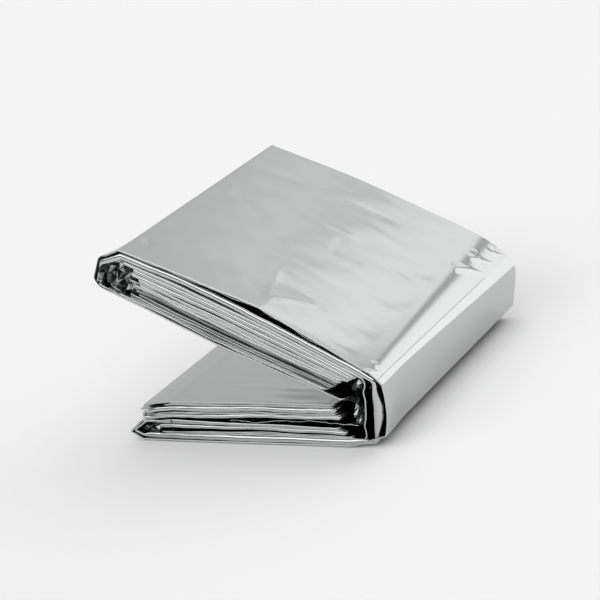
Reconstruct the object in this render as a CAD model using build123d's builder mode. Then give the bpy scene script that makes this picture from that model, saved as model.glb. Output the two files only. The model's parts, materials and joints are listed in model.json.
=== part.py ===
"""Folded emergency bivy sack: a metallised film sack folded small and standing part open like a book.

The flat sack is folded in eight across its width, which gives a strip, and the strip is folded in
sixteen along its length. The last fold is the spine. It joins a lower leaf, which lies on the
table, to an upper leaf, and each leaf is a stack of eight layers of the strip.

Row frame, millimetres: +Z up, Y along the spine, +X from the free ends towards the spine, and the
origin at the centre of the lower leaf's resting face.
"""

import os
from math import cos, radians, sin

from build123d import *

# Driving dimensions
FOLD_WIDTH = 114.0  # one eighth of the flat sack's 914 mm width
UPPER_LENGTH = 130.0  # upper crease to the tip of the upper leaf's free end
LOWER_LENGTH = 124.0  # lower crease to the tip of the lower leaf's free end
SPINE_HEIGHT = 29.0  # crease to crease, on the outside of the spine
OPENING = 28.0  # degrees between the outer faces of the two leaves at rest
LAYERS = 8  # layers of the strip in each leaf
FILM = 0.3  # cover film, with the plies that cling to it
SPINE_PITCH = 1.75  # layer pitch where the leaves meet the spine
UPPER_END_PITCH = 2.65  # layer pitch at the upper leaf's free end, where the folds spring apart
LOWER_END_PITCH = 2.2  # layer pitch at the lower leaf's free end
GAP = 0.12  # air left between neighbouring layers
CREASE_GAP = 0.2  # clearance of each mitred end from its mitre plane
COVER_INSET = 0.6  # how far the layers stand back inside the cover film at the sides
LAYER_STEP = 0.35  # how far each second layer stands further back again

# The lower leaf's stack: a bundle of four layers, one of two, and the sack's two loose ends
BUNDLE_A = 4
BUNDLE_B_LENGTH = 114.0
LOOSE_ENDS = {7: 111.0, 8: 109.0}
FOOT_SEAM_DEPTH = 4.0
FOOT_SEAM_THICKNESS = 0.6

# Worked out from those
CREASE_OPENING = OPENING / 2  # each of the spine's two creases opens by half of the wedge
UPPER_END_RADIUS = (2 * FILM + LAYERS * UPPER_END_PITCH) / 2
UPPER_STRAIGHT = UPPER_LENGTH - UPPER_END_RADIUS
BUNDLE_A_RADIUS = FILM + BUNDLE_A * LOWER_END_PITCH / 2
LOWER_STRAIGHT = LOWER_LENGTH - BUNDLE_A_RADIUS

LEAN = radians(CREASE_OPENING)
WEDGE = radians(OPENING)
LOWER_CREASE = Vector(LOWER_LENGTH / 2, 0, 0)
UPPER_CREASE = LOWER_CREASE + Vector(sin(LEAN), 0, cos(LEAN)) * SPINE_HEIGHT

# In each plane, local x runs along the film from a crease and local y runs inwards from the cover
LOWER_PLANE = Plane(origin=LOWER_CREASE, x_dir=(-1, 0, 0), z_dir=(0, 1, 0))
SPINE_PLANE = Plane(origin=LOWER_CREASE, x_dir=(sin(LEAN), 0, cos(LEAN)), z_dir=(0, -1, 0))
UPPER_PLANE = Plane(origin=UPPER_CREASE, x_dir=(-cos(WEDGE), 0, sin(WEDGE)), z_dir=(0, -1, 0))

os.makedirs("parts", exist_ok=True)


def save(part, name):
    """Labels one finished piece and writes it as its own STEP file."""
    part.label = name
    export_step(part, f"parts/{name}.step")


def depth_at(index, along, end_pitch, straight):
    """Depth below the cover's outer face of the boundary above layer `index`, counted from 0."""
    pitch = SPINE_PITCH + (end_pitch - SPINE_PITCH) * along / straight
    return FILM + index * pitch


def strip_outline(top, bottom, end_pitch, straight, end):
    """Corners of a strip between two layer boundaries, mitred at the crease and square at `end`."""
    top_start = depth_at(top, 0, end_pitch, straight)
    bottom_start = depth_at(bottom, 0, end_pitch, straight)
    return [
        (top_start + CREASE_GAP, top_start + GAP / 2),
        (end, depth_at(top, end, end_pitch, straight) + GAP / 2),
        (end, depth_at(bottom, end, end_pitch, straight) - GAP / 2),
        (bottom_start + CREASE_GAP, bottom_start - GAP / 2),
    ]


def slab(plane, outline, half_width, edge_radius):
    """A flat length of folded strip: an outline pulled to both sides, with rounded fold edges."""
    with BuildPart() as piece:
        with BuildSketch(plane):
            with BuildLine():
                Polyline(*outline, close=True)
            make_face()
        extrude(amount=half_width, both=True)
        sides = piece.faces().sort_by(Axis.Y)
        fold_edges = ShapeList([*sides[0].edges(), *sides[-1].edges()])
        fillet([edge for edge in fold_edges if edge.length > 4 * edge_radius + 2], edge_radius)
    return piece.part


def half_ring(plane, centre, outer, inner, half_width):
    """A fold at a free end: half of a flattened ring, open towards the crease."""
    x, y = centre
    with BuildPart() as piece:
        with BuildSketch(plane):
            with BuildLine():
                Line((x, y - outer), (x, y - inner))
                ThreePointArc((x, y - inner), (x + inner, y), (x, y + inner))
                Line((x, y + inner), (x, y + outer))
                ThreePointArc((x, y + outer), (x + outer, y), (x, y - outer))
            make_face()
        extrude(amount=half_width, both=True)
    return piece.part


def layer_half_width(number):
    """Half of a layer's width: every second layer stands a little further back."""
    return FOLD_WIDTH / 2 - COVER_INSET - LAYER_STEP * (number % 2)


# Lower leaf: the body that rests on the table
with BuildPart() as bottom_cover_film:
    with BuildSketch(LOWER_PLANE):
        with BuildLine():
            Polyline(
                (CREASE_GAP, 0),
                (LOWER_STRAIGHT, 0),
                (LOWER_STRAIGHT, FILM),
                (FILM + CREASE_GAP, FILM),
                close=True,
            )
        make_face()
    extrude(amount=FOLD_WIDTH / 2, both=True)
save(bottom_cover_film.part, "bottom_cover_film")

bundle_a_centre = (LOWER_STRAIGHT, BUNDLE_A_RADIUS)
save(
    half_ring(
        LOWER_PLANE, bundle_a_centre, BUNDLE_A_RADIUS, BUNDLE_A_RADIUS - FILM, FOLD_WIDTH / 2
    ),
    "lower_end_cover_film",
)

for fold in (1, 2):
    outer = (BUNDLE_A / 2 + 1 - fold) * LOWER_END_PITCH - GAP / 2
    inner = max(outer - LOWER_END_PITCH + GAP, GAP)
    save(
        half_ring(LOWER_PLANE, bundle_a_centre, outer, inner, layer_half_width(fold)),
        f"lower_end_fold_{fold}",
    )

bundle_b_radius = LOWER_END_PITCH - GAP / 2
bundle_b_middle = depth_at(BUNDLE_A + 1, BUNDLE_B_LENGTH - bundle_b_radius, LOWER_END_PITCH, LOWER_STRAIGHT)
bundle_b_centre = (BUNDLE_B_LENGTH - bundle_b_radius, bundle_b_middle)
save(
    half_ring(LOWER_PLANE, bundle_b_centre, bundle_b_radius - GAP, GAP, layer_half_width(3)),
    "lower_end_fold_3",
)

for number in range(1, LAYERS + 1):
    if number <= BUNDLE_A:
        end = LOWER_STRAIGHT
    else:
        end = LOOSE_ENDS.get(number, bundle_b_centre[0])
    outline = strip_outline(number - 1, number, LOWER_END_PITCH, LOWER_STRAIGHT, end)
    save(
        slab(LOWER_PLANE, outline, layer_half_width(number), 0.35 * SPINE_PITCH),
        f"lower_layer_{number}",
    )

# The foot of the sack: a heat-welded fin that closes its lower loose end
foot_end = LOOSE_ENDS[7]
foot_depth = depth_at(6.5, foot_end, LOWER_END_PITCH, LOWER_STRAIGHT)
with BuildPart() as foot_seam:
    with BuildSketch(LOWER_PLANE):
        with Locations((foot_end + FOOT_SEAM_DEPTH / 2, foot_depth)):
            Rectangle(FOOT_SEAM_DEPTH, FOOT_SEAM_THICKNESS)
    extrude(amount=layer_half_width(7), both=True)
save(foot_seam.part, "foot_seam")

# The face of the lower leaf inside the wedge: the outer ply of the sack's upper loose end
face_start = depth_at(LAYERS, 0, LOWER_END_PITCH, LOWER_STRAIGHT)
face_end = LOOSE_ENDS[8]
with BuildPart() as lower_face_film:
    with BuildSketch(LOWER_PLANE):
        with BuildLine():
            Polyline(
                (face_start + CREASE_GAP, face_start),
                (face_end, depth_at(LAYERS, face_end, LOWER_END_PITCH, LOWER_STRAIGHT)),
                (face_end, depth_at(LAYERS, face_end, LOWER_END_PITCH, LOWER_STRAIGHT) + FILM),
                (face_start + FILM + CREASE_GAP, face_start + FILM),
                close=True,
            )
        make_face()
    extrude(amount=FOLD_WIDTH / 2 - COVER_INSET, both=True)
save(lower_face_film.part, "lower_face_film")

# Spine: the short body between the two creases, eight wraps nested inside the cover film
with BuildPart() as spine_cover_film:
    with BuildSketch(SPINE_PLANE):
        with BuildLine():
            Polyline(
                (CREASE_GAP, 0),
                (SPINE_HEIGHT - CREASE_GAP, 0),
                (SPINE_HEIGHT - FILM - CREASE_GAP, FILM),
                (FILM + CREASE_GAP, FILM),
                close=True,
            )
        make_face()
    extrude(amount=FOLD_WIDTH / 2, both=True)
save(spine_cover_film.part, "spine_cover_film")

for number in range(1, LAYERS + 1):
    outer_depth = FILM + (number - 1) * SPINE_PITCH + GAP / 2
    inner_depth = min(FILM + number * SPINE_PITCH - GAP / 2, SPINE_HEIGHT / 2 - 2 * CREASE_GAP)
    with BuildPart() as wrap:
        with BuildSketch(SPINE_PLANE):
            with BuildLine():
                Polyline(
                    (outer_depth + CREASE_GAP, outer_depth),
                    (SPINE_HEIGHT - outer_depth - CREASE_GAP, outer_depth),
                    (SPINE_HEIGHT - inner_depth - CREASE_GAP, inner_depth),
                    (inner_depth + CREASE_GAP, inner_depth),
                    close=True,
                )
            make_face()
        extrude(amount=layer_half_width(number), both=True)
    save(wrap.part, f"spine_wrap_{number}")

# Upper leaf: cover film over the top, round the free end and back along the underside
with BuildPart() as top_cover_film:
    with BuildSketch(UPPER_PLANE):
        with BuildLine():
            Polyline(
                (CREASE_GAP, 0),
                (UPPER_STRAIGHT, 0),
                (UPPER_STRAIGHT, FILM),
                (FILM + CREASE_GAP, FILM),
                close=True,
            )
        make_face()
    extrude(amount=FOLD_WIDTH / 2, both=True)
save(top_cover_film.part, "top_cover_film")

upper_end_centre = (UPPER_STRAIGHT, UPPER_END_RADIUS)
save(
    half_ring(
        UPPER_PLANE, upper_end_centre, UPPER_END_RADIUS, UPPER_END_RADIUS - FILM, FOLD_WIDTH / 2
    ),
    "upper_end_cover_film",
)

for fold in range(1, LAYERS // 2 + 1):
    outer = (LAYERS / 2 + 1 - fold) * UPPER_END_PITCH - GAP / 2
    inner = max(outer - UPPER_END_PITCH + GAP, GAP)
    save(
        half_ring(UPPER_PLANE, upper_end_centre, outer, inner, layer_half_width(fold)),
        f"upper_end_fold_{fold}",
    )

for number in range(1, LAYERS + 1):
    outline = strip_outline(number - 1, number, UPPER_END_PITCH, UPPER_STRAIGHT, UPPER_STRAIGHT)
    save(
        slab(UPPER_PLANE, outline, layer_half_width(number), 0.35 * SPINE_PITCH),
        f"upper_layer_{number}",
    )

under_start = depth_at(LAYERS, 0, UPPER_END_PITCH, UPPER_STRAIGHT)
under_end = depth_at(LAYERS, UPPER_STRAIGHT, UPPER_END_PITCH, UPPER_STRAIGHT)
with BuildPart() as upper_face_film:
    with BuildSketch(UPPER_PLANE):
        with BuildLine():
            Polyline(
                (under_start + CREASE_GAP, under_start),
                (UPPER_STRAIGHT, under_end),
                (UPPER_STRAIGHT, under_end + FILM),
                (under_start + FILM + CREASE_GAP, under_start + FILM),
                close=True,
            )
        make_face()
    extrude(amount=FOLD_WIDTH / 2, both=True)
save(upper_face_film.part, "upper_face_film")

print("lower crease", LOWER_CREASE, "upper crease", UPPER_CREASE)
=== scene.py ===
"""Looks of the folded bivy sack: bright metallised film, folded, creased and standing part open."""

import json
import math

import bpy
import numpy as np
from mathutils import Matrix, Vector


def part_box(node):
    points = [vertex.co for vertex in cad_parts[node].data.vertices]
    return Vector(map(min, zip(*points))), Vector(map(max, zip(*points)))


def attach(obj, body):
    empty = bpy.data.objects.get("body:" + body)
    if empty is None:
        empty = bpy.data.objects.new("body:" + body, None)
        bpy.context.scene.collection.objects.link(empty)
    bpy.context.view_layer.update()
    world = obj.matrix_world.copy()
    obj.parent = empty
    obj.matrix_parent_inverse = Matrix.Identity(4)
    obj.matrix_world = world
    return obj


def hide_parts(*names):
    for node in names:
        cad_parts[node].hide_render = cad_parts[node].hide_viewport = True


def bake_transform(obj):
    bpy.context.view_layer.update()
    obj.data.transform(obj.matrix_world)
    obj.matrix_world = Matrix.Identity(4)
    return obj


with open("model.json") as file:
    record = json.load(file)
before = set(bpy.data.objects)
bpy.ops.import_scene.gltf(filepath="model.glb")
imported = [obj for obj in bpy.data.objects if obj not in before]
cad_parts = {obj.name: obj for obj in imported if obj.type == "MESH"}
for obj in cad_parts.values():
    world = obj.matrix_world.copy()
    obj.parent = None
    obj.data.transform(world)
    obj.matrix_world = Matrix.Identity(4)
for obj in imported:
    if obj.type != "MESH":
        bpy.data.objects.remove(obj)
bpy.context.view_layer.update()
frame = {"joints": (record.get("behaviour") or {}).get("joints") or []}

MM = 0.001

# ---- measures taken from the frame

joints = {joint["name"]: joint for joint in frame["joints"]}


def in_plane(point):
    """A point's X and Z, in millimetres."""
    return np.array([point[0], point[2]]) / MM


LOWER_CREASE = in_plane(joints["lower_crease"]["pos_m"])
UPPER_CREASE = in_plane(joints["upper_crease"]["pos_m"])
SPINE_LENGTH = float(np.linalg.norm(UPPER_CREASE - LOWER_CREASE))
LEAN = math.atan2(UPPER_CREASE[0] - LOWER_CREASE[0], UPPER_CREASE[1] - LOWER_CREASE[1])
WEDGE = 2 * LEAN
HALF_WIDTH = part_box("spine_cover_film")[1].y / MM
UPPER_TURN = (UPPER_CREASE[0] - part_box("top_cover_film")[0].x / MM) / math.cos(WEDGE)
UPPER_RADIUS = (
    UPPER_CREASE[0] - UPPER_TURN * math.cos(WEDGE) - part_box("upper_end_cover_film")[0].x / MM
) / (1 + math.sin(WEDGE))
UPPER_END = UPPER_TURN + UPPER_RADIUS
LOWER_TIP = LOWER_CREASE[0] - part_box("lower_end_cover_film")[0].x / MM
BUNDLE_B_TIP = LOWER_CREASE[0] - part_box("lower_end_fold_3")[0].x / MM
FOOT_TIP = LOWER_CREASE[0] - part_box("foot_seam")[0].x / MM
MOUTH_TIP = LOWER_CREASE[0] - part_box("lower_face_film")[0].x / MM


class Side:
    """A flat side of the pad in the XZ plane: distances run from its crease, depths run inwards."""

    def __init__(self, origin, along, inward):
        self.origin = np.array(origin, float)
        self.along = np.array(along, float)
        self.inward = np.array(inward, float)

    def at(self, distance, depth):
        """Points at these distances and depths."""
        distance, depth = np.broadcast_arrays(distance, depth)
        return self.origin + distance[..., None] * self.along + depth[..., None] * self.inward


UPPER = Side(UPPER_CREASE, (-math.cos(WEDGE), math.sin(WEDGE)), (-math.sin(WEDGE), -math.cos(WEDGE)))
SPINE_DOWN = Side(UPPER_CREASE, (-math.sin(LEAN), -math.cos(LEAN)), (-math.cos(LEAN), math.sin(LEAN)))
LOWER = Side(LOWER_CREASE, (-1.0, 0.0), (0.0, 1.0))
SPINE_UP = Side(LOWER_CREASE, (math.sin(LEAN), math.cos(LEAN)), (-math.cos(LEAN), math.sin(LEAN)))


def corner_of(spine, leaf, spine_depth, leaf_depth):
    """Where the spine's film and the leaf's film would meet if neither was rounded."""
    across = np.array([spine.along, -leaf.along]).T
    inverse = np.linalg.inv(across)
    gap = leaf_depth[..., None] * leaf.inward - spine_depth[..., None] * spine.inward
    reach = gap @ inverse.T
    return reach[..., 0], reach[..., 1]


# ---- smooth steps, waves and creases


def step(x, low, high):
    """0 below low, 1 above high, smooth between."""
    t = np.clip((x - low) / (high - low), 0, 1)
    return t * t * (3 - 2 * t)


def waves(seed, u, v, length_u, length_v, count=7):
    """Smooth noise from -1 to 1 or so, with waves about this long each way."""
    draw = np.random.default_rng(seed)
    total = 0.0
    for _ in range(count):
        turn_u, turn_v = draw.normal(0, 1, 2)
        phase = draw.uniform(0, 2 * math.pi)
        total = total + np.cos(2 * math.pi * (turn_u * u / length_u + turn_v * v / length_v) + phase)
    return total / math.sqrt(count)


def facets(seed, u, v, size, count, soft):
    """Creased noise: flat facets about `size` wide that meet in ridges, with slope of about 1."""
    draw = np.random.default_rng(seed)
    total = 0.0
    for _ in range(count):
        angle = draw.uniform(0, math.pi)
        offset = draw.uniform(0, 1)
        across = (np.cos(angle) * u + np.sin(angle) * v) / size + offset
        saw = np.abs((across % 1.0) - 0.5)
        saw = np.sqrt(saw**2 + soft**2)
        total = total + (saw - 0.25) * size * draw.choice([-1, 1])
    return total / math.sqrt(count)


def by_line(u, v, start, end):
    """Share of the way along the line from start to end, and the distance to its left."""
    start, end = np.array(start, float), np.array(end, float)
    length = np.linalg.norm(end - start)
    x, y = (end - start) / length
    right, up = u - start[0], v - start[1]
    return (right * x + up * y) / length, up * x - right * y


def crease(u, v, start, end, width, height, bend=0.0):
    """A single fold line from start to end, `height` proud, that fades at both ends."""
    t, d = by_line(u, v, start, end)
    d = d - bend * 4 * t * (1 - t)
    fade = step(t, 0.0, 0.25) * (1 - step(t, 0.7, 1.0))
    soft = 0.15 * width
    return height * fade * np.exp(-(np.sqrt(d * d + soft * soft) - soft) / width)


def dart(u, v, base, tip, width, height):
    """A pointed pleat: two flat faces that meet in a ridge and narrow to a point at the tip."""
    t, d = by_line(u, v, base, tip)
    left = 1 - np.clip(t, 0, 1)
    ridge = np.maximum(1 - np.abs(d) / np.maximum(width * left, 1e-6), 0)
    return height * left * step(t, -0.03, 0.06) * ridge


def toward_near(y, reach):
    """1 at the near side of the pad, falling to 0 over `reach` millimetres."""
    return 1 - step(y + HALF_WIDTH, 0.0, reach)


# ---- paths of film in the XZ plane


SPINE_STEPS, CORNER_STEPS, LEAF_STEPS = 12, 10, 150  # rows of a film's path on each part of its way


def ramp(count, dimensions):
    """From 0 to 1 down the rows, shaped to go with arrays of so many dimensions."""
    return np.linspace(0, 1, count).reshape(-1, *([1] * dimensions))


def curve(first, middle, last, count):
    """A quadratic Bezier curve, without its first and last points."""
    t = ramp(count + 2, first.ndim)[1:-1]
    return (1 - t) ** 2 * first + 2 * t * (1 - t) * middle + t**2 * last


def straight(side, start, end, count, depth):
    """Points along a side from start to end; depth is a function of the distance."""
    distance = start + (end - start) * ramp(count, np.ndim(start))
    return side.at(distance, depth(distance))


def half_path(spine, leaf, spine_depth, leaf_depth, turn, reach=(2.2, 2.2)):
    """From the middle of the spine, round a crease and out along a leaf to `turn`.

    reach is how far from the corner the bend starts, on the spine and on the leaf.
    """
    zero = np.zeros_like(spine_depth)
    at_corner = leaf_depth(zero + 4.0)
    p, q = corner_of(spine, leaf, spine_depth, at_corner)
    middle = SPINE_LENGTH / 2
    on_spine = np.minimum(reach[0], 0.75 * (middle - p))
    first = straight(spine, middle + zero, p + on_spine, SPINE_STEPS, lambda b: spine_depth + 0 * b)
    last = straight(leaf, q + reach[1], turn + zero, LEAF_STEPS, leaf_depth)
    bend = curve(first[-1], leaf.at(q, at_corner), last[0], CORNER_STEPS)
    return np.concatenate([first, bend, last])


def line(first, last, count):
    """Points on the straight line from first to last, both included."""
    return first + (last - first) * ramp(count, first.ndim)


def rounded_path(corners, softness, counts, limit=0.45):
    """Straight runs between corners, each inner corner rounded over its own softness in mm.

    limit is the largest share of a run that one corner's rounding may take.
    """
    rows, start = [], corners[0]
    for number in range(1, len(corners) - 1):
        corner, ends = corners[number], []
        for other in (corners[number - 1], corners[number + 1]):
            gap = other - corner
            length = np.linalg.norm(gap, axis=-1, keepdims=True)
            ends.append(corner + gap / length * np.minimum(softness[number - 1], limit * length))
        rows += [line(start, ends[0], counts[number - 1]), curve(ends[0], corner, ends[1], 8)]
        start = ends[1]
    rows.append(line(start, corners[-1], counts[-1]))
    return np.concatenate(rows)


TURN_COUNTS = (5, 6, 4, 4)
TURN_STEPS = sum(TURN_COUNTS) + 8 * 3 - 2


def turn_path(first, corners, last, softness=(1.2, 1.2, 0.8)):
    """The fold at a free end: through three corners from the outgoing film to the returning film."""
    return rounded_path([first, *corners, last], softness, TURN_COUNTS)[1:-1]


# ---- film meshes


def normals_of(path):
    """Unit vectors away from the stack: to the right of the direction of travel."""
    tangent = np.gradient(path, axis=0)
    tangent /= np.linalg.norm(tangent, axis=-1, keepdims=True) + 1e-12
    return np.stack([tangent[..., 1], -tangent[..., 0]], axis=-1)


ROLL_ANGLES = np.radians(np.linspace(76, -76, 9))
ROLL_REACH = 0.9  # how far a roll's round edge reaches, as a share of its half thickness


NEAR_ROLL = [(0.0, -math.cos(t), math.sin(t)) for t in ROLL_ANGLES[::-1]]
FAR_ROLL = [(1.0, math.cos(t), math.sin(t)) for t in ROLL_ANGLES]


def fractions(count, edge):
    """Fractions across the film, closer together near both edges."""
    t = np.linspace(0, 1, count)
    return t - edge * np.sin(2 * math.pi * t) / (2 * math.pi)


def sleeve_section(count, edge=0.85):
    """Cross-section of a folded strip: (fraction across, roll, face), and that it is closed."""
    across = fractions(count, edge)
    outer = [(f, 0.0, 1.0) for f in across]
    inner = [(f, 0.0, -1.0) for f in across[::-1]]
    return np.array(outer + FAR_ROLL + inner + NEAR_ROLL), True


def hemmed_section(count, hem):
    """Cross-section of a cover sheet whose two side edges are folded under by the share `hem`."""
    under = np.linspace(hem, 0, 5)
    near = [(f, 0.0, -1.0) for f in under] + NEAR_ROLL
    far = FAR_ROLL + [(1 - f, 0.0, -1.0) for f in under[::-1]]
    return np.array(near + [(f, 0.0, 1.0) for f in fractions(count, 0.5)] + far), False


def film(name, path_of, section, half, near, far, ripple, material, inside=None, outward=1):
    """A strip of folded film.

    path_of(y) gives the film's path at sideways places y. half is half the film's thickness, and near
    and far are how far its edges are set back, all three with a row for each row of the path.
    ripple(y, path) pushes the film along its normal. inside(y) is painted shade: how lit the film's colour
    is painted, from 0 deep in the stack to 1 in the open. outward is -1 where the path runs with the stack
    on its right.
    """
    loop, closed = section
    f, roll, face = loop.T[:, None]
    roll_reach = ROLL_REACH * half
    low = -HALF_WIDTH + near + roll_reach
    high = HALF_WIDTH - far - roll_reach
    y = low + (high - low) * f + roll * roll_reach
    path = path_of(y[0])
    push = half * face + ripple(y, path)
    xz = path + normals_of(path) * outward * push[..., None]
    # Painted shade: how lit each point's colour is painted
    lit = np.ones_like(y) if inside is None else inside(y) + 0 * y

    rows, columns = y.shape
    grid = np.stack([xz[..., 0], y, xz[..., 1]], axis=-1) * MM
    i, j = np.meshgrid(np.arange(rows - 1), np.arange(columns if closed else columns - 1), indexing="ij")
    k = (j + 1) % columns
    quads = np.stack([i * columns + j, i * columns + k, (i + 1) * columns + k, (i + 1) * columns + j], -1)
    quads = quads.reshape(-1, 4)[:, ::outward]
    piece = add_piece(name, grid.reshape(-1, 3), quads.tolist(), unrolled(grid), lit, "POINT", material)
    piece.data.polygons.foreach_set("use_smooth", np.ones(len(quads), bool))
    piece.data.update()
    return piece


UV_SCALE = 10  # UV maps are in decimetres


def unrolled(grid):
    """UV places of a grid's points: u runs along the film and v round its section."""
    steps = [np.linalg.norm(np.diff(grid, axis=axis), axis=2).mean(1 - axis) for axis in (0, 1)]
    u, v = (np.concatenate([[0], np.cumsum(part)]) * UV_SCALE for part in steps)
    return np.stack(np.meshgrid(u, v, indexing="ij"), -1).reshape(-1, 2)


def add_piece(name, points, faces, flat, lit, domain, material):
    """A mesh object with its UV map, and with the painted shade of each point or face: how lit its colour
    is painted.
    """
    mesh = bpy.data.meshes.new(name)
    mesh.from_pydata(points.tolist(), [], faces)
    corners = np.empty(len(mesh.loops), int)
    mesh.loops.foreach_get("vertex_index", corners)
    mesh.uv_layers.new(name="film").data.foreach_set("uv", flat[corners].astype(np.float32).ravel())
    mesh.attributes.new("lit", "FLOAT", domain).data.foreach_set("value", lit.ravel())
    mesh.materials.append(material)
    mesh.update()
    piece = bpy.data.objects.new(name, mesh)
    bpy.context.scene.collection.objects.link(piece)
    return piece


# ---- materials


def node(tree, kind, **values):
    """Adds a node and sets its properties or input values."""
    made = tree.nodes.new(kind)
    for key, value in values.items():
        if key in made.inputs:
            made.inputs[key].default_value = value
        else:
            setattr(made, key, value)
    return made


def film_material(name, tint, rough, fine, lines):
    """Metallised film: mirror-like, with a fine crinkle, stretch lines along the folds and light haze.

    The mesh attribute "lit" is painted shade: it darkens the film's colour deep inside the stack, where no
    light reaches it.
    """
    material = bpy.data.materials.new(name)
    material.use_nodes = True
    tree = material.node_tree
    link = tree.links.new
    shader = tree.nodes["Principled BSDF"]
    shader.inputs["Metallic"].default_value = 1.0

    def noise(vector, **values):
        made = node(tree, "ShaderNodeTexNoise", **values)
        link(vector, made.inputs["Vector"])
        return made.outputs["Fac"]

    def bump(height, distance):
        made = node(tree, "ShaderNodeBump", Strength=1.0, Distance=distance)
        link(height, made.inputs["Height"])
        return made

    uv = node(tree, "ShaderNodeUVMap", uv_map="film").outputs["UV"]
    place = node(tree, "ShaderNodeMapping", Scale=(2.0, 60.0, 1.0))
    link(uv, place.inputs["Vector"])
    stretch = noise(place.outputs["Vector"], Scale=1.6, Detail=3.0, Roughness=0.5)
    crinkle = noise(uv, Scale=9.0, Detail=5.0, Roughness=0.6)
    haze = noise(uv, Scale=3.0, Detail=3.0)
    bump_lines, bump_fine = bump(stretch, lines), bump(crinkle, fine)
    link(bump_lines.outputs["Normal"], bump_fine.inputs["Normal"])
    link(bump_fine.outputs["Normal"], shader.inputs["Normal"])
    roughness = node(tree, "ShaderNodeMapRange", **{"To Min": rough[0], "To Max": rough[1]})
    link(haze, roughness.inputs["Value"])
    link(roughness.outputs["Result"], shader.inputs["Roughness"])
    # A colour mix node takes its share at input 0 and its colours at inputs 6 and 7
    hazy, shaded = (node(tree, "ShaderNodeMix", data_type="RGBA") for _ in range(2))
    hazy.inputs[6].default_value = (*[c * 0.95 for c in tint], 1)
    hazy.inputs[7].default_value = (*tint, 1)
    link(haze, hazy.inputs[0])
    # Painted shade: where the "lit" attribute is low, the colour is mixed towards a near-black shade colour
    shaded.inputs[6].default_value = (*PAINTED_SHADE_COLOUR, 1)
    link(hazy.outputs[2], shaded.inputs[7])
    lit = node(tree, "ShaderNodeAttribute", attribute_name="lit")
    link(lit.outputs["Fac"], shaded.inputs[0])
    link(shaded.outputs[2], shader.inputs["Base Color"])
    return material


SILVER = (0.575, 0.592, 0.585)
PAINTED_SHADE_COLOUR = (0.022, 0.03, 0.026)  # painted shade: the near-black colour of film deep inside the stack
cover_look = film_material("cover_film", SILVER, (0.1, 0.17), 0.00003, 0.00001)
fold_look = film_material("fold_film", SILVER, (0.08, 0.15), 0.00003, 0.00004)
crumple_look = film_material("crumpled_film", SILVER, (0.1, 0.2), 0.00005, 0.00002)
weld_look = film_material("weld_film", (0.5, 0.52, 0.51), (0.28, 0.4), 0.0002, 0.00005)

# ---- how the rolls share the stack

# Relative thickness of the sixteen rolls of one leaf, from the outside in, and the gaps after some
UPPER_ROLLS = [3.3, 1.5, 2.2, 2.0, 1.4, 0.6, 1.3, 0.5, 1.1, 0.7, 1.7, 0.9, 0.7, 0.4, 0.6, 0.45]
UPPER_GAPS = {2: 0.25, 4: 0.45, 9: 0.9}
LOWER_ROLLS = [3.2, 0.5, 0.45, 0.45, 1.7, 0.4, 0.4, 1.1, 1.7, 0.5, 0.5, 2.6, 0.4, 0.4, 0.35, 0.35]
LOWER_GAPS = {4: 0.75, 8: 2.3}
SPINE_ROLLS = [5.0, 0.6, 0.6] + [0.42] * 13
SPINE_GAPS = {1: 1.1, 2: 0.3}
ROLLS = len(UPPER_ROLLS)


def shares(rolls, gaps):
    """Centre and half thickness of each roll as shares of the stack's thickness."""
    total = sum(rolls) + sum(gaps.values())
    centres, halves, at = [], [], 0.0
    for number, thick in enumerate(rolls, 1):
        centres.append((at + thick / 2) / total)
        halves.append(thick / 2 / total)
        at += thick + gaps.get(number, 0.0)
    return np.array(centres), np.array(halves)


UPPER_CENTRES, UPPER_HALVES = shares(UPPER_ROLLS, UPPER_GAPS)
LOWER_CENTRES, LOWER_HALVES = shares(LOWER_ROLLS, LOWER_GAPS)
SPINE_CENTRES, SPINE_HALVES = shares(SPINE_ROLLS, SPINE_GAPS)
TIP_SPLIT = 4  # rolls of the lower leaf below the gap that widens towards its tip
BUNDLE_SPLIT = 8  # rolls of the lower leaf below the gap between its two bundles

SPINE_TOP, SPINE_BOTTOM = 0.5, 14.2  # depths of the stack behind the spine's cover film
FILL = 0.98  # how much of its share of the stack a roll fills


def profile(*knots):
    """A function of the distance from the crease: straight lines through (distance, value) knots."""
    return lambda a: np.interp(a, [place for place, _ in knots], [value for _, value in knots])


# Depths of the outside and the inside of each leaf's stack
upper_top = profile(
    (0, 1.2), (8, 0.7), (20, -0.1), (50, -1.5), (76, -1.7), (100, -0.8), (118, 0.4), (130, 0.9)
)
upper_bottom = profile((0, 14.6), (17, 16.4), (71, 19.2), (118, 19.5), (130, 19.5))
lower_bottom = profile((0, 1.0), (15, 0.15), (130, 0.15))
lower_top = profile((0, 14.6), (20, 17.0), (60, 17.5), (98, 17.4), (106, 16.6), (115, 14.7))
# How much wider than usual the gap between the lower leaf's two bundles stands
bundle_gap = profile((5, 2.6), (20, 1.7), (45, 0.3), (76, -0.7), (100, -1.9), (115, -2.0))
UPPER_STACK, LOWER_STACK = 20.4, 17.0  # how thick each leaf's stack is, for the rolls' thicknesses


def spine_depth_of(roll):
    return SPINE_TOP + SPINE_CENTRES[roll] * (SPINE_BOTTOM - SPINE_TOP)


def leaf_depth(leaf, roll):
    """Depth of a roll in its leaf, as a function of the distance from the crease."""
    if leaf is UPPER:
        return lambda a: upper_top(a) + UPPER_CENTRES[roll] * (upper_bottom(a) - upper_top(a))
    share = LOWER_CENTRES[roll]
    pushed = -share if roll < BUNDLE_SPLIT else 1 - share

    def depth(a):
        pressed = 1 - 0.25 * step(a, 55, 112) * (roll < TIP_SPLIT)
        thick = lower_top(a) - lower_bottom(a)
        return lower_bottom(a) + share * pressed * thick + pushed * bundle_gap(a)

    return depth


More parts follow.
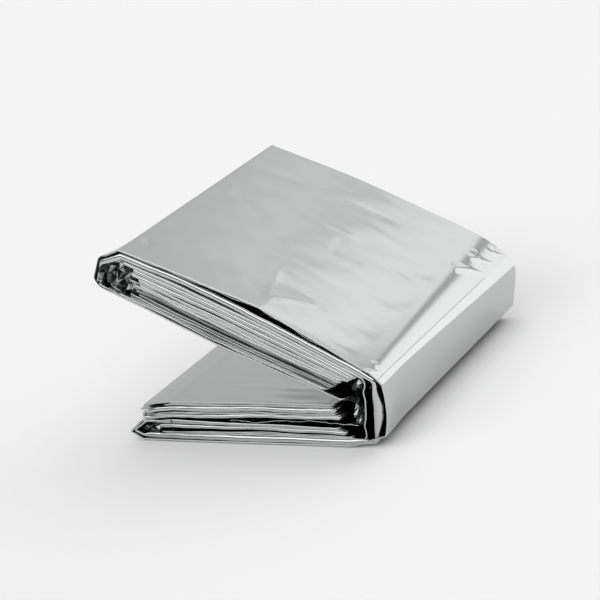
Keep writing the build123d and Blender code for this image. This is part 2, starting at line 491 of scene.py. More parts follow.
def leaf_half(leaf, roll):
    if leaf is UPPER:
        return UPPER_HALVES[roll] * UPPER_STACK * FILL
    return LOWER_HALVES[roll] * LOWER_STACK * FILL


END_TUCK = 2.2  # how much shorter the upper leaf's end is away from the near side


def end_tuck(leaf, y):
    return END_TUCK * (leaf is UPPER) * (1 - toward_near(y, 14.0))


def out_and_back(leaf, spine, rolls, distance, nose):
    """Path of a strip that leaves the spine as one roll, turns at its nose, and comes back as another.

    nose holds the fold's three corners: distance past the turn, and share of the fold's depth.
    """

    def path(y):
        out, back = (
            half_path(spine, leaf, spine_depth_of(roll) + 0 * y, leaf_depth(leaf, roll), distance)
            for roll in rolls
        )
        top, bottom = (leaf_depth(leaf, roll)(distance) for roll in rolls)
        corners = [
            leaf.at(distance + past - end_tuck(leaf, y), top + part * (bottom - top) + 0 * y)
            for past, part in nose
        ]
        return np.concatenate([out, turn_path(out[-1], corners, back[-1]), back[::-1]])

    return path


SLEEVE = sleeve_section(13)
MID_SPINE = -SPINE_LENGTH / 2


def distances_out(turn):
    """Rough distance from the crease for each row of a half path, negative on the spine."""
    parts = (MID_SPINE, -2, SPINE_STEPS), (-2, 2, CORNER_STEPS), (2, turn, LEAF_STEPS)
    return np.concatenate([np.linspace(*part) for part in parts])


def distances_out_and_back(turn):
    """The same for each row of an out-and-back path."""
    half = distances_out(turn)
    beyond = turn + 8 * np.cos(np.linspace(-math.pi / 2, math.pi / 2, TURN_STEPS))
    return np.concatenate([half, beyond, half[::-1]])[:, None]


def settled(a):
    """0 at the middle of the spine, where two strips meet, and 1 away from it."""
    return step(a, MID_SPINE + 1, MID_SPINE + 8)


def wander(seed, a, recess=0.8):
    """How far a roll's edge stands back from the pad's side, without its pockets."""
    drift = 0.35 * waves(seed, a, 0 * a, 60, 1) + 0.06 * waves(seed + 1, a, 0 * a, 14, 1)
    return np.maximum(0.8 + (recess - 0.8) * step(a, 0, 10) + settled(a) * drift, 0.12)


def pocket_at_crease(a, pocket):
    """Extra set-back of a roll near the crease; pocket is (how deep, how far along the leaf)."""
    deep, until = pocket
    return deep * (1 - step(a, until - 5, until))


def pocket_at_end(a, deep, start):
    return deep * step(a, start, start + 6)


def lit_by(back, inward):
    """Painted shade: how lit the film's colour is painted, by how far its edge is set back and how far in
    from its roll it is.
    """
    return (1 - 0.97 * step(back, 1.6, 4.5)) * (1 - 0.98 * step(inward, 0.0, 1.1))


def in_from_edge(y, near, far, half):
    """Distance in from the nearer edge of a strip, past most of its roll."""
    return np.maximum(np.minimum(y + HALF_WIDTH - near, HALF_WIDTH - far - y) - ROLL_REACH * half, 0)


def strip(
    name, leaf, spine, rolls, turn, nose, nose_half, pockets, end_pocket, recess, seed, lens=0.0, kink=0.0
):
    """One folded strip of film in a leaf, from the spine to the free end and back.

    rolls, pockets and recess hold two entries, for the film on its way out and on its way back, lens
    is how much the outgoing film bellies out on the spine, and kink how far it is pushed in there.
    """
    out, back = rolls
    a = distances_out_and_back(turn)
    returning = np.arange(len(a))[:, None] > len(a) / 2
    half = []
    for roll, belly in ((out, lens), (back, 0.0)):
        on_spine = SPINE_HALVES[roll] * (SPINE_BOTTOM - SPINE_TOP) * FILL
        on_spine = on_spine * (1 - belly * step(a, MID_SPINE, -2) ** 1.5)
        on_spine = on_spine * (1 - 0.2 * belly * (a < MID_SPINE + 1))
        on_leaf = leaf_half(leaf, roll) * (1 + 0.06 * waves(seed + 2 + roll, a, 0 * a, 35, 1))
        half.append(on_spine + (on_leaf - on_spine) * step(a, -2.0, 9.0))
    half = np.where(returning, half[1], half[0])
    middle = step(a, turn - 1, turn + 6)
    half = half * (1 - middle) + nose_half * middle
    crease_pocket = np.where(returning, pocket_at_crease(a, pockets[1]), pocket_at_crease(a, pockets[0]))
    pocket = crease_pocket + pocket_at_end(a, *end_pocket)
    stood_back = np.where(returning, recess[1], recess[0])
    near = wander(seed + 4, a, stood_back) + pocket
    far = wander(seed + 6, a, stood_back) + 0.8 * pocket

    pushed = 1.3 * lens * (1 - step(a, MID_SPINE, -2))
    pushed = pushed - kink * profile((-10.5, 0), (-6.0, 1), (-4.0, 0.3), (-1.0, 0))(a)
    pushed = pushed * ~returning * (1 if leaf is UPPER else -1)

    def ripple(y, path):
        return pushed + 0.05 * settled(a) * waves(seed + 3, a + 0 * y, y, 25, 12)

    # Painted shade in the gaps between rolls and in the pockets
    def inside(y):
        return lit_by(np.where(y < 0, near, far), in_from_edge(y, near, far, half))

    path_of = out_and_back(leaf, spine, rolls, turn, nose)
    return film(name, path_of, SLEEVE, half, near, far, ripple, fold_look, inside)


# The sack is made of two walls of film, 2.10 by 0.914 m, folded in eight across and in sixteen along.
TUCKED_IN = 24.0  # length of film that turns in at the lower leaf's tip


def declare(nodes):
    """Hides the parts of model.glb that a piece of film stands in for."""
    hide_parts(*nodes)


def finish_film(piece, leaf, nodes):
    """Bakes a piece of film's placement into its mesh and hides the parts it stands in for."""
    upper = leaf is UPPER
    across = leaf.along - (SPINE_DOWN if upper else SPINE_UP).along
    across /= np.linalg.norm(across)
    if not upper:
        across = -across
    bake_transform(piece)
    declare(nodes)


# ---- upper leaf's strips

SHALLOW = (0.0, 8.0)
UPPER_BACK = UPPER_END - UPPER_TURN
# For each strip from the outside in: how far its edges stand back on the way out and on the way back,
# how deep its pocket at the free end is, and how far before the turn that pocket starts
UPPER_STRIPS = [
    ((0.5, 0.7), 2.4, -1.5), ((0.6, 0.8), 4.5, 4.0), ((0.7, 1.1), 6.0, 9.0), ((0.8, 2.2), 7.5, 8.0),
    ((1.3, 2.8), 7.0, 11.5), ((1.5, 3.2), 7.5, 7.0), ((1.3, 3.4), 7.0, 12.5), ((1.6, 1.7), 7.5, 10.0)
]
for number, (recess, deep, before) in enumerate(UPPER_STRIPS):
    layer, inset = number // 2 + 1, 1.5 * number
    out_pocket = SHALLOW if number < 2 else (9.0, 4.0 + 1.3 * (number - 2))
    piece = strip(
        f"upper_strip_{number + 1}", UPPER, SPINE_DOWN, (number, ROLLS - 1 - number), UPPER_TURN - 1.5,
        nose=[(UPPER_BACK - short - inset, part) for short, part in ((1.2, 0.42), (0.4, 0.86), (1.8, 1.0))],
        nose_half=0.3 if number else 0.6, pockets=(out_pocket, (9.0, 12.5 - 0.5 * number)),
        end_pocket=(deep, UPPER_TURN - before), recess=recess, seed=100 + 20 * number,
        lens=0.0 if number else 0.6, kink=1.0 if number == 1 else 0.0
    )
    nodes = [f"{kind}_{place}" for kind in ("upper_layer", "spine_wrap") for place in (layer, 9 - layer)]
    nodes.insert(2, f"upper_end_fold_{layer}")
    finish_film(piece, UPPER, nodes)

# ---- lower leaf's strips

# The same four measures for the strips of the bundle below, with the pocket's start before the tip
LOWER_STRIPS = [((0.5, 0.6), 0.3, 14), ((0.7, 0.9), 3.0, 17), ((0.9, 1.0), 5.0, 20), ((1.2, 0.8), 6.0, 18)]
for number, (recess, deep, before) in enumerate(LOWER_STRIPS):
    layer = number // 2 + 1
    piece = strip(
        f"lower_strip_{number + 1}", LOWER, SPINE_UP, (number, 7 - number), LOWER_TIP - 9.8,
        nose=((3.4 - 0.6 * number, 0.0), (8.2 - 1.3 * number, 0.37), (0.6, 1.0)),
        nose_half=0.3 if number else 0.6,
        pockets=(SHALLOW if number < 2 else (9.0, 6.5), (9.0, 10.5 - 0.6 * number)),
        end_pocket=(deep, LOWER_TIP - before), recess=recess, seed=400 + 20 * number,
        lens=0.0 if number else 0.6, kink=0.7 if number == 1 else 0.0
    )
    nodes = [f"lower_layer_{layer}", f"lower_layer_{5 - layer}", f"lower_end_fold_{layer}"]
    finish_film(piece, LOWER, nodes)

for number in range(2):
    piece = strip(
        f"lower_strip_{number + 5}", LOWER, SPINE_UP, (8 + number, 11 - number), turn=BUNDLE_B_TIP - 3.0,
        nose=((3.6 - number, 0.1), (3.0 - number, 0.7), (1.0, 1.0)), nose_half=0.5 - 0.2 * number,
        pockets=((9.0, 9.0), (9.0, 10.0)), end_pocket=(0.2 + number, BUNDLE_B_TIP - 8.0),
        recess=((0.6, 0.7), (0.9, 1.2))[number], seed=500 + 20 * number
    )
    nodes = ["lower_layer_5", "lower_layer_6", "lower_end_fold_3"]
    finish_film(piece, LOWER, nodes)

# ---- cover films

SPINE_INNER = SPINE_BOTTOM + 0.7  # depth of the film that lines the wedge, behind the spine
COVER_THICK, FACE_THICK, PLY_THICK = 0.7, 0.6, 0.26
HEMMED = hemmed_section(190, 0.05)
# Painted shade: the hems folded under the cover are painted at 0.3 of full light
HEM_PAINTED_LIGHT = np.where(HEMMED[0][:, 2] < -0.9, 0.3, 1.0)
TENT_PEAK = 54.0  # where the top film's near edge stands highest off the stack


def top_bow(a, y):
    """How far the top cover film stands off the leaf's plane: a bow, and a tent at the near edge."""
    a = np.clip(a, 0, 122)
    across = (y + HALF_WIDTH) / (2 * HALF_WIDTH)
    bow = 3.3 * np.sin(math.pi * (a + 19 * across) / (122 + 38 * across))
    rising, falling = a / TENT_PEAK, (122 - a) / (122 - TENT_PEAK)
    tent = 5.6 * np.where(a < TENT_PEAK, rising, np.maximum(falling, 0) ** 0.75)
    return bow + (tent - bow) * toward_near(y, 24.0)


def spine_bulge(b, y):
    """How far the spine's cover film bulges out, by height above the lower crease."""
    share = np.clip(b / SPINE_LENGTH, 0, 1)
    toward_far = 1 - toward_near(y, 2 * HALF_WIDTH)
    even, high_up = np.sin(math.pi * share), np.sin(math.pi * share**2.2)
    return (0.3 + 1.9 * toward_near(y, 20.0)) * even + 1.2 * toward_far * high_up


def shoulder(y):
    """The shoulder's corners: on the spine, a fine groove between its two facets, and on the leaf."""
    t = np.clip((y + HALF_WIDTH) / (2 * HALF_WIDTH), 0, 1)
    on_spine, on_leaf = 1.9 + 3.1 * t, 3.6 + 8.4 * t
    low = SPINE_DOWN.at(on_spine, -spine_bulge(SPINE_LENGTH - on_spine, y))
    fold, depth = 1.2 + 0.3 * t, 0.64 + 1.16 * t
    sunk = 0.06 - 0.17 * step(t, 0.76, 0.84)
    groove = [
        UPPER.at(fold, depth), UPPER.at(fold + 0.28, depth + sunk), UPPER.at(fold + 0.56, depth - 0.22)
    ]
    high = UPPER.at(on_leaf, -top_bow(on_leaf, y))
    return on_spine, on_leaf, [low, *groove, high], (2.2 + 2.6 * t)[:, None]


def cover_out(y):
    """From the middle of the spine over the shoulder's facets to the leaf's free end."""
    on_spine, on_leaf, corners, soft = shoulder(y)
    zero = 0 * y
    first = straight(
        SPINE_DOWN, SPINE_LENGTH / 2 + zero, on_spine + 1.0, SPINE_STEPS,
        lambda p: -spine_bulge(SPINE_LENGTH - p, y)
    )
    last = straight(UPPER, on_leaf + 8.0, UPPER_TURN + zero, LEAF_STEPS, lambda a: -top_bow(a, y))
    middle = rounded_path(
        [first[-1], *corners, last[0]], (0.5, 0.1, 0.1, 0.1, soft), (2, 12, 2, 2, 18, 8), limit=0.75
    )
    return np.concatenate([first[:-1], middle, last[1:]])


FACE_REACH = (2.0, 3.0)  # how far from its corner the lining bends, on the spine and on the leaf


def under_film(y):
    """The film on the upper leaf's underside, from the middle of the spine's inner face outwards."""
    depth = SPINE_INNER + np.zeros_like(y)
    return half_path(SPINE_DOWN, UPPER, depth, lambda a: upper_bottom(a) + 0.45, UPPER_TURN, FACE_REACH)


def upper_cover_path(y):
    """The cover film of the upper leaf: over the top, round the free end and back underneath."""
    zero = 0 * y
    out, back = cover_out(y), under_film(y)[::-1]
    tuck = end_tuck(UPPER, y)
    end = [out[-1]]
    end += [
        UPPER.at(UPPER_END + beyond - tuck, depth + zero) for beyond, depth in ((-1.4, 8.0), (-0.1, 18.6))
    ]
    end += [UPPER.at(UPPER_END - 3.2 - 0.4 * tuck, upper_bottom(UPPER_END) + 1.3 + zero), back[0]]
    turn = rounded_path(end, (1.5, 1.5, 1.2), (12, 12, 6, 6))
    return np.concatenate([out, turn[1:-1], back])


def lower_cover_path(y):
    """The cover film of the lower leaf: under the spine and the leaf, round the tip and back inside."""
    zero = 0 * y
    edge, heel, turn_at = 5.2, 14.0, LOWER_TIP - 5.6
    first = straight(
        SPINE_UP, SPINE_LENGTH / 2 + zero, edge + 1.2 + zero, SPINE_STEPS, lambda b: -spine_bulge(b, y)
    )
    last = straight(LOWER, heel + 3.0 + zero, turn_at - 2.0 + zero, LEAF_STEPS, lambda a: 0.05 + 0 * a)
    corners = [SPINE_UP.at(edge + zero, -spine_bulge(edge + zero, y)), LOWER.at(heel + zero, 0.05 + zero)]
    middle = rounded_path([first[-1], *corners, last[0]], (0.8, 2.5), (2, 12, 2))
    back_depth = leaf_depth(LOWER, BUNDLE_SPLIT - 1)(turn_at) + 1.0
    tip = [last[-1], LOWER.at(turn_at + zero, 0.05 + zero), LOWER.at(LOWER_TIP - 0.4 + zero, 3.5 + zero)]
    tip += [
        LOWER.at(LOWER_TIP - 8.6 + zero, back_depth + zero),
        LOWER.at(LOWER_TIP - TUCKED_IN + zero, back_depth + zero)
    ]
    turn = rounded_path(tip, (1.0, 0.8, 1.5), (3, 8, 14, 10))
    return np.concatenate([first[:-1], middle, last[1:-1], turn])


def lower_face_path(y):
    """The film on the lower leaf's face inside the wedge, from the spine's inner face to its edge."""
    depth = SPINE_INNER + 0 * y
    return half_path(SPINE_UP, LOWER, depth, lambda a: lower_top(a) + 0.45, MOUTH_TIP + 3.0, FACE_REACH)


def along_path(path):
    """Distance run along a path, row by row, at its middle column."""
    middle = path[:, path.shape[1] // 2]
    return np.concatenate([[0], np.cumsum(np.linalg.norm(np.diff(middle, axis=0), axis=1))])[:, None]


def cover(name, path_of, thick, near, far, ripple, material=cover_look, outward=1, dark=None):
    """A cover film with hemmed side edges; near and far take the distance run along the film.

    dark(run, y) is painted shade: the share by which the film's colour is darkened where it lies deep in
    the pad.
    """
    run = along_path(path_of(np.zeros(1)))

    def inside(y):
        return HEM_PAINTED_LIGHT * (1 if dark is None else 1 - dark(run, y))

    return film(
        name, path_of, HEMMED, thick / 2 + 0 * run, near(run), far(run),
        lambda y, path: ripple(run + 0 * y, y, path), material, inside, outward
    )


TOP_START = SPINE_LENGTH / 2  # distance run along the upper cover film where the leaf starts


# Long creases of the top film, in distance from the crease and place across: start, end, width,
# height and bend
CREASES = [
    ((118, 36), (30, 39), 2.0, -0.22), ((70, 40), (8, 36), 1.6, -0.12, 2.0),
    ((56, 17), (10, 4), 1.6, -0.22, 4.0), ((78, 16), (48, 15), 1.6, 0.16),
    ((60, 10), (38, -1), 1.4, -0.14, 1.0), ((58, 3), (40, -8), 1.4, -0.12, 1.0),
    ((112, 12), (82, 2), 1.5, -0.16, 1.5), ((62, 29), (22, 22), 1.6, 0.14, 1.5),
    ((80, -17), (30, -20), 1.4, -0.10), ((118, -42), (110, -47), 1.0, -0.3),
    ((112, -36), (90, -36), 1.2, -0.12), ((56, -50), (38, -37), 1.5, 0.3, -2.5),
    ((54, -52), (66, -20), 2.2, 0.25), ((54, -50), (72, -40), 1.8, -0.15)
]
# Pleats where the ends of the shoulder are crumpled: base, tip, width and height
DARTS = [
    ((13.5, 27), (2.2, 37), 4.0, 0.42), ((12.5, 45), (2.2, 36.5), 1.6, 0.36),
    ((11.5, 39), (2.2, 47), 3.0, 0.32), ((9.5, 56), (2.2, 48), 1.4, 0.32),
    ((8.0, 50), (2.2, 56), 2.0, 0.22), ((6.5, -49.5), (1.9, -54), 1.6, 0.3),
    ((6.0, -56.5), (1.9, -51), 1.3, 0.28)
]


def top_ripple(run, y, path):
    a = (path - UPPER.origin) @ UPPER.along
    from_start = run - TOP_START
    behind = step(from_start, UPPER_TURN, UPPER_TURN + 6)
    on_top = step(a, 12.0, 20.0) * (1 - step(from_start, UPPER_TURN - 8, UPPER_TURN - 1))
    broad = 0.05 * waves(12, a, y, 60, 34) + 0.04 * waves(18, a, y, 45, 14)
    fine = 0.006 * waves(13, a, y, 40, 6.0, 9)
    beneath = 0.05 * waves(17, run, y, 30, 12) * behind
    pleats = sum(dart(a, y, *shape) for shape in DARTS) * (from_start < 40)
    creases = sum(crease(a, y, *shape) for shape in CREASES)
    return on_top * (broad + fine + creases) + pleats + beneath


def lower_ripple(run, y, path):
    return 0.03 * waves(21, run, y, 40, 20) * step(run, 6, 18)


def face_ripple(run, y, path):
    a = run - SPINE_LENGTH / 2 + 6
    near_crease = step(a, 2, 14) * (1 - step(a, 45, 85))
    streaks = 0.06 * waves(31, a, y, 90, 9, 9) * toward_near(y, 60) * near_crease
    return streaks + 0.03 * waves(33, a, y, 80, 30) + 0.006 * waves(32, a, y, 60, 4, 9)


def edge_wander(seed):
    """An edge that wanders a little, but starts at a fixed place where two films meet."""
    return lambda run: 0.25 + step(run, 2, 12) * 0.15 * (1 + waves(seed, run, 0 * run, 50, 1))


ROOT_POCKET = 6.0  # how far the lining stands back from the side at the wedge's root


def at_root(run, until):
    """1 at the wedge's root, falling to 0 along the lining of either leaf."""
    return 1 - step(run, until - 4, until)


def painted_root_shade(run, y, until=8):
    """Painted shade: how much the lining's colour is darkened at the wedge's root, away from the middle of
    the pad.
    """
    edge = np.minimum(y + HALF_WIDTH, HALF_WIDTH - y)
    return 0.98 * at_root(run, until) * (1 - step(edge, 14, 30))


def face_near(run):
    return 0.3 + ROOT_POCKET * at_root(run, 9) + 1.2 * step(run, 98, 112)


END_POCKET = 1.0  # how far the cover film stands back from the side at the upper leaf's free end


def at_upper_end(run):
    """1 where the upper cover film turns round its free end, 0 elsewhere."""
    past = run - TOP_START - UPPER_TURN
    return step(past, 5, 9) * (1 - step(past, 24, 29))


def upper_near(run):
    return edge_wander(41)(run) + ROOT_POCKET * at_root(run[-1] - run, 4) + END_POCKET * at_upper_end(run)


def upper_painted_shade(run, y):
    """Painted shade: darker at the wedge's root and along the near edge of the free end."""
    edge = 0.92 * at_upper_end(run) * (1 - step(y + HALF_WIDTH, END_POCKET + 0.6, END_POCKET + 1.6))
    return np.maximum(painted_root_shade(run[-1] - run, y, 4), edge)


upper_cover = cover(
    "upper_cover", upper_cover_path, COVER_THICK, upper_near, edge_wander(42), top_ripple,
    dark=upper_painted_shade
)
lower_cover = cover(
    "lower_cover", lower_cover_path, COVER_THICK, edge_wander(43), edge_wander(44), lower_ripple,
    outward=-1
)
lower_face = cover(
    "lower_face", lower_face_path, FACE_THICK, face_near, edge_wander(45), face_ripple, dark=painted_root_shade
)
finish_film(
    upper_cover, UPPER, ["top_cover_film", "upper_end_cover_film", "upper_face_film"],
)
finish_film(
    lower_cover, LOWER, ["bottom_cover_film", "lower_end_cover_film", "spine_cover_film"],
)
finish_film(lower_face, LOWER, ["lower_face_film"])

# ---- loose plies in the gaps


PLY_REACH = 20.0  # how far in from the near side a ply is drawn
UNDER_TENT, IN_BUNDLE_GAP = (8, 112), (9, 70)  # where each ply starts and ends, from the crease


def ply(name, body, path_of, near, ripple, nodes, start, end):
    """A single loose ply in a gap of the stack, riding on one leaf: the part of it that shows."""
    piece = cover(
        name, path_of, PLY_THICK, near, lambda run: 2 * HALF_WIDTH - PLY_REACH + 0 * run, ripple, fold_look
    )
    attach(piece, body)
    declare(nodes)


def under_tent(y):
    """Just beneath the top film's near edge."""
    start, end = UNDER_TENT
    return straight(UPPER, start + 0 * y, end + 0 * y, 120, lambda a: 0.75 - top_bow(a, y))


def in_bundle_gap(y):
    """Half way up the gap between the lower leaf's bundles."""
    low, high = leaf_depth(LOWER, BUNDLE_SPLIT - 1), leaf_depth(LOWER, BUNDLE_SPLIT)
    start, end = IN_BUNDLE_GAP
    return straight(LOWER, start + 0 * y, end + 0 * y, 110, lambda a: 0.55 * low(a) + 0.45 * high(a))


ply(
    "upper_inner_ply", "upper_leaf", under_tent,
    lambda run: 0.5 + 0.35 * (1 + waves(51, run, 0 * run, 22, 1)),
    lambda run, y, path: 0.1 * waves(52, run, y, 12, 9), ["upper_layer_1"], *UNDER_TENT
)
ply(
    "lower_inner_ply", "lower_leaf", in_bundle_gap,
    lambda run: 0.9 + 0.5 * (1 + waves(53, run, 0 * run, 20, 1)),
    lambda run, y, path: 0.7 * facets(54, run, y, 13.0, 3, 0.02) * 0.25 + 0.12 * waves(55, run, y, 9, 7),
    ["lower_layer_5"], *IN_BUNDLE_GAP
)

# ---- the sack's two loose ends


def loose_strip(name, rolls, tip, end_thick, seed, until, nodes):
    """A strip that ends at the free end without turning back: the foot or the mouth of the sack."""
    a = distances_out(tip)[:, None]
    thick = sum(leaf_half(LOWER, roll) for roll in rolls)
    spine_thick = sum(SPINE_HALVES[roll] for roll in rolls) * (SPINE_BOTTOM - SPINE_TOP) * FILL
    half = spine_thick + (thick - spine_thick) * step(a, -2.0, 9.0)
    half = half + (end_thick / 2 - half) * step(a, tip - 14, tip)
    pocket = pocket_at_crease(a, (9.0, until)) + pocket_at_end(a, 2.6, tip - 13)
    near, far = wander(seed, a) + pocket, wander(seed + 1, a) + pocket
    depths = [leaf_depth(LOWER, roll) for roll in rolls]
    on_spine = np.mean([spine_depth_of(roll) for roll in rolls])

    def depth_at(b):
        return np.mean([depth(b) for depth in depths], axis=0)

    def path_of(y):
        return half_path(SPINE_UP, LOWER, on_spine + 0 * y, depth_at, tip)

    def ripple(y, path):
        return 0.05 * settled(a) * waves(seed + 2, a + 0 * y, y, 25, 12)

    # Painted shade in the gaps between rolls and in the pockets
    def inside(y):
        return lit_by(np.where(y < 0, near, far), in_from_edge(y, near, far, half) * (a < tip - 12))

    piece = film(name, path_of, SLEEVE, half, near, far, ripple, fold_look, inside)
    finish_film(piece, LOWER, nodes)


FOOT_ROLLS, MOUTH_ROLLS = (12, 13), (14, 15)
SEAM_DEPTH = FOOT_TIP - (LOWER_CREASE[0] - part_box("foot_seam")[1].x / MM)
loose_strip("foot_strip", FOOT_ROLLS, FOOT_TIP - 0.8 * SEAM_DEPTH, 0.7, 600, 10.5, ["lower_layer_7"])
loose_strip("mouth_strip", MOUTH_ROLLS, MOUTH_TIP - 0.5, 0.5, 610, 11.5, ["lower_layer_8"])


def foot_seam_weld():
    """The heat weld that closes the sack's foot: a flat ribbed band past the end of its strip."""
    set_back, rib_pitch, rib_height, rows = 1.3, 1.5, 0.05, 14
    depth = np.mean([leaf_depth(LOWER, roll)(FOOT_TIP) for roll in FOOT_ROLLS])
    share = np.linspace(0, 1, rows)[:, None]
    edge = set_back + 0 * share

    def path_of(y):
        ends = FOOT_TIP - SEAM_DEPTH + 0 * y, FOOT_TIP + 0 * y
        return straight(LOWER, *ends, rows, lambda a: depth + 0 * a)

    def ripple(y, path):
        return rib_height * np.sin(2 * math.pi * y / rib_pitch) * step(share, 0.05, 0.3)

    half = 0.3 - 0.18 * step(share, 0.75, 1.0)
    ribs = sleeve_section(500, 0.0)
    piece = film("foot_seam_weld", path_of, ribs, half, edge, edge, ripple, weld_look)
    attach(piece, "lower_leaf")
    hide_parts("foot_seam")


foot_seam_weld()

# ---- crumpled film in the pockets


def crumple(name, body, side, corners, near_side, back, depth, cell, bright, seed, nodes, rim=None):
    """A patch of sharply crumpled film in a pocket at one of the pad's sides.

    corners are four (distance, depth) places on a side, back is how far the patch is set back, depth
    how much it crumples, cell the size of its facets each way, and bright the share of facets painted with
    a highlight; the rest are painted in near-black shade.
    rim is how far its outer end is set back, where that end is the pad's outline.
    """
    draw = np.random.default_rng(seed)
    corners = np.array(corners, float)
    across = np.linalg.norm(corners[1] - corners[0]), np.linalg.norm(corners[3] - corners[0])
    columns, rows = (
        max(3, round(size / step_size)) for size, step_size in zip(across, cell, strict=True)
    )
    u, v = np.meshgrid(np.linspace(0, 1, columns + 1), np.linspace(0, 1, rows + 1), indexing="ij")
    inner = (u > 0) & (u < 1) & (v > 0) & (v < 1)
    u = u + inner * draw.uniform(-0.38, 0.38, u.shape) / columns
    v = v + inner * draw.uniform(-0.38, 0.38, v.shape) / rows
    weights = np.stack([(1 - u) * (1 - v), u * (1 - v), u * v, (1 - u) * v], -1)
    place = weights @ corners
    xz = side.at(place[..., 0], place[..., 1])
    sunk = back + np.where(inner, draw.uniform(0, depth, u.shape), depth)
    if rim is not None:
        sunk[-1] = rim
        sunk[-2, -1] = (rim + back + depth) / 2
    y = (-HALF_WIDTH + sunk) if near_side else (HALF_WIDTH - sunk)
    points = np.stack([xz[..., 0], y, xz[..., 1]], -1).reshape(-1, 3) * MM
    faces = []
    for i in range(columns):
        for j in range(rows):
            a, b = i * (rows + 1) + j, (i + 1) * (rows + 1) + j
            quad = np.roll((a, b, b + 1, a + 1), -draw.integers(2)).tolist()
            faces += [(quad[0], quad[1], quad[2]), (quad[0], quad[2], quad[3])]
    # Painted highlights and painted shade: a random share of facets is painted lit, the rest painted near
    # black
    lit = np.where(draw.uniform(0, 1, len(faces)) < bright, draw.uniform(0.5, 1, len(faces)), 0.0)
    lit = np.maximum(lit, 0.25 * draw.uniform(0, 1, len(faces)) ** 3)
    flat = place.reshape(-1, 2) * MM * UV_SCALE
    piece = add_piece(name, points, faces, flat, lit, "FACE", crumple_look)
    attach(piece, body)
    declare(nodes)


CORNER_POCKET = [(110, 4.2), (UPPER_END - 2.5, 7.4), (UPPER_END - 1.7, 18.9), (109, 19.0)]
TIP_POCKET = [(103, 1.6), (LOWER_TIP - 4.9, 1.5), (LOWER_TIP - 7.0, 7.0), (103, 8.0)]
SPINE_POCKET = [(5.0, 6.6), (24.5, 6.6), (24.5, 15.2), (3.0, 15.2)]
for near_side, name, seed in ((True, "near", 700), (False, "far", 750)):
    crumple(
        f"{name}_corner_crumple", "upper_leaf", UPPER,
        CORNER_POCKET if near_side else [(place[0] - END_TUCK, place[1]) for place in CORNER_POCKET],
        near_side, 1.2, 2.8, (1.5, 2.8), 0.3, seed, ["upper_end_fold_2", "upper_end_fold_3"],
        rim=1.2 if near_side else 1.8
    )
    crumple(
        f"{name}_tip_crumple", "lower_leaf", LOWER, TIP_POCKET, near_side, 2.0, 2.2, (2.2, 1.3), 0.3,
        seed + 10, ["lower_end_fold_2"]
    )
    crumple(
        f"{name}_spine_crumple", "spine", SPINE_UP, SPINE_POCKET, near_side, 2.2, 4.0, (1.9, 1.5), 0.2,
        seed + 20, ["spine_wrap_3", "spine_wrap_6"]
    )

# ---- stage, light and camera


def make_floor():
    size = 40.0
    mesh = bpy.data.meshes.new("floor")
    mesh.from_pydata(
        [(-size, -size, 0), (size, -size, 0), (size, size, 0), (-size, size, 0)], [], [(0, 1, 2, 3)]
    )
    floor = bpy.data.objects.new("floor", mesh)
    floor.location.z = -0.0006
    bpy.context.scene.collection.objects.link(floor)
    material = bpy.data.materials.new("floor")
    material.use_nodes = True
    shader = material.node_tree.nodes["Principled BSDF"]
    shader.inputs["Base Color"].default_value = (0.89, 0.89, 0.89, 1)
    shader.inputs["Roughness"].default_value = 0.9
    shader.inputs["Specular IOR Level"].default_value = 0.1
    mesh.materials.append(material)


make_floor()


world = bpy.data.worlds.new("studio")
world.use_nodes = True
bpy.context.scene.world = world
studio = world.node_tree


def maths(operation, *inputs):
    """A maths node of the studio whose inputs are numbers or other nodes' outputs; gives its output."""
    made = node(studio, "ShaderNodeMath", operation=operation)
    for socket, value in zip(made.inputs, inputs, strict=False):
        if isinstance(value, (int, float)):
            socket.default_value = value
        else:
            studio.links.new(value, socket)
    return made.outputs[0]


def times(*inputs):
    return maths("MULTIPLY", *inputs)


def map_range(value, low, high, **values):
    """How far a value is from low to high, from 0 to 1."""
    ramp_node = node(studio, "ShaderNodeMapRange", **{"From Min": low, "From Max": high}, **values)
    studio.links.new(value, ramp_node.inputs["Value"])
    return ramp_node.outputs["Result"]


def band(value, low, high, soft):
    """1 between low and high, falling to 0 over `soft` on each side."""
    edges = ((low - soft, low), (high + soft, high))
    return times(*(map_range(value, *edge, interpolation_type="SMOOTHSTEP") for edge in edges))


# How bright the studio is behind the pad: azimuth from +Y towards +X in degrees, and brightness
BACK_WALL = [
    (-60, 0.6), (-27, 0.7), (-16, 0.78), (-12, 0.88), (-8.6, 0.96), (-7.6, 0.84), (-4.2, 0.84),
    (-3.2, 1.08), (1, 1.16), (5, 1.28), (8.5, 1.15), (11.5, 0.55), (17.5, 0.55), (20.5, 1.38), (33, 1.42),
    (38, 1.5), (60, 1.5), (75, 0.7)
]
WALL_LOW, WALL_HIGH, WALL_SOFT = 6, 62, 8  # the wall's elevations, and how softly it ends
# The soft box in front of the pad: azimuths from -Y towards -X, elevations, softness and brightness
FRONT_BOX = ((-55, 60), (24, 46), (12.0, 5.0), 1.5)
SKY = 0.42
OVERHEAD = 1.5
HORIZON_SHADE = 0.8


def brightness_curve(value, points):
    """Looks a value up in a list of (place, brightness) points."""
    (first, _), (last, _) = points[0], points[-1]
    lookup = studio.nodes.new("ShaderNodeFloatCurve")
    curve_line = lookup.mapping.curves[0]
    peak = max(brightness for _, brightness in points)
    for number, (place, brightness) in enumerate(points):
        at = ((place - first) / (last - first), brightness / peak)
        if number in (0, len(points) - 1):
            curve_line.points[0 if number == 0 else -1].location = at
        else:
            curve_line.points.new(*at)
    for point in curve_line.points:
        point.handle_type = "VECTOR"
    lookup.mapping.update()
    studio.links.new(map_range(value, first, last), lookup.inputs["Value"])
    return times(lookup.outputs["Value"], peak)


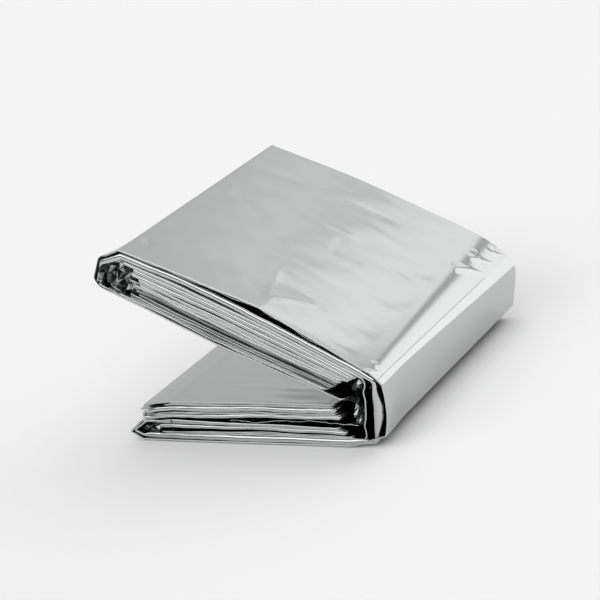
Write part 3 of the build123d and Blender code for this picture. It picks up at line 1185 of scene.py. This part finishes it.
def light_studio():
    background = studio.nodes["Background"]
    direction = node(studio, "ShaderNodeTexCoord").outputs["Generated"]
    split = node(studio, "ShaderNodeSeparateXYZ")
    studio.links.new(direction, split.inputs[0])
    x, y, z = split.outputs
    elevation = maths("DEGREES", maths("ARCSINE", z))
    behind = maths("DEGREES", maths("ARCTAN2", x, y))
    in_front = maths("DEGREES", maths("ARCTAN2", times(x, -1.0), times(y, -1.0)))
    total = maths("ADD", times(band(elevation, 78, 95, 18), OVERHEAD), SKY)
    wall = maths("SUBTRACT", brightness_curve(behind, BACK_WALL), SKY)
    wall_here = times(
        band(behind, BACK_WALL[0][0], BACK_WALL[-1][0], 15),
        band(elevation, WALL_LOW, WALL_HIGH, WALL_SOFT)
    )
    total = maths("ADD", total, times(wall, wall_here))
    (az_low, az_high), (el_low, el_high), (az_soft, el_soft), bright = FRONT_BOX
    box = times(band(in_front, az_low, az_high, az_soft), band(elevation, el_low, el_high, el_soft))
    total = maths("ADD", total, times(box, bright))
    # Darker near the horizon in front, where the photographer stands
    shade = times(band(in_front, -80, 80, 30), band(elevation, -10, 12, 10))
    total = times(total, maths("SUBTRACT", 1.0, times(shade, HORIZON_SHADE)))
    studio.links.new(total, background.inputs["Strength"])
    background.inputs["Color"].default_value = (1, 1, 1, 1)


light_studio()

# The camera looks from the front right, a little above, and is rolled clockwise
AZIMUTH, ELEVATION, ROLL = math.radians(38.17), math.radians(19.53), math.radians(-16.36)
AIM = Vector((-0.0034, 0.0035, 0.0342))
DISTANCE = 0.676
LENS, SENSOR = 97.5, 36.0


def make_camera():
    data = bpy.data.cameras.new("camera")
    data.lens, data.sensor_width = LENS, SENSOR
    data.clip_start, data.clip_end = 0.01, 200.0
    camera = bpy.data.objects.new("camera", data)
    bpy.context.scene.collection.objects.link(camera)
    level, height = math.cos(ELEVATION), math.sin(ELEVATION)
    back = Vector((math.sin(AZIMUTH) * level, -math.cos(AZIMUTH) * level, height))
    right = Vector((0, 0, 1)).cross(back).normalized()
    up = back.cross(right)
    rolled_right = math.cos(ROLL) * right + math.sin(ROLL) * up
    rolled_up = -math.sin(ROLL) * right + math.cos(ROLL) * up
    turn = Matrix((rolled_right, rolled_up, back)).transposed()
    camera.matrix_world = Matrix.Translation(AIM + back * DISTANCE) @ turn.to_4x4()
    bpy.context.scene.camera = camera


make_camera()
bpy.context.scene.view_settings.view_transform = "Standard"
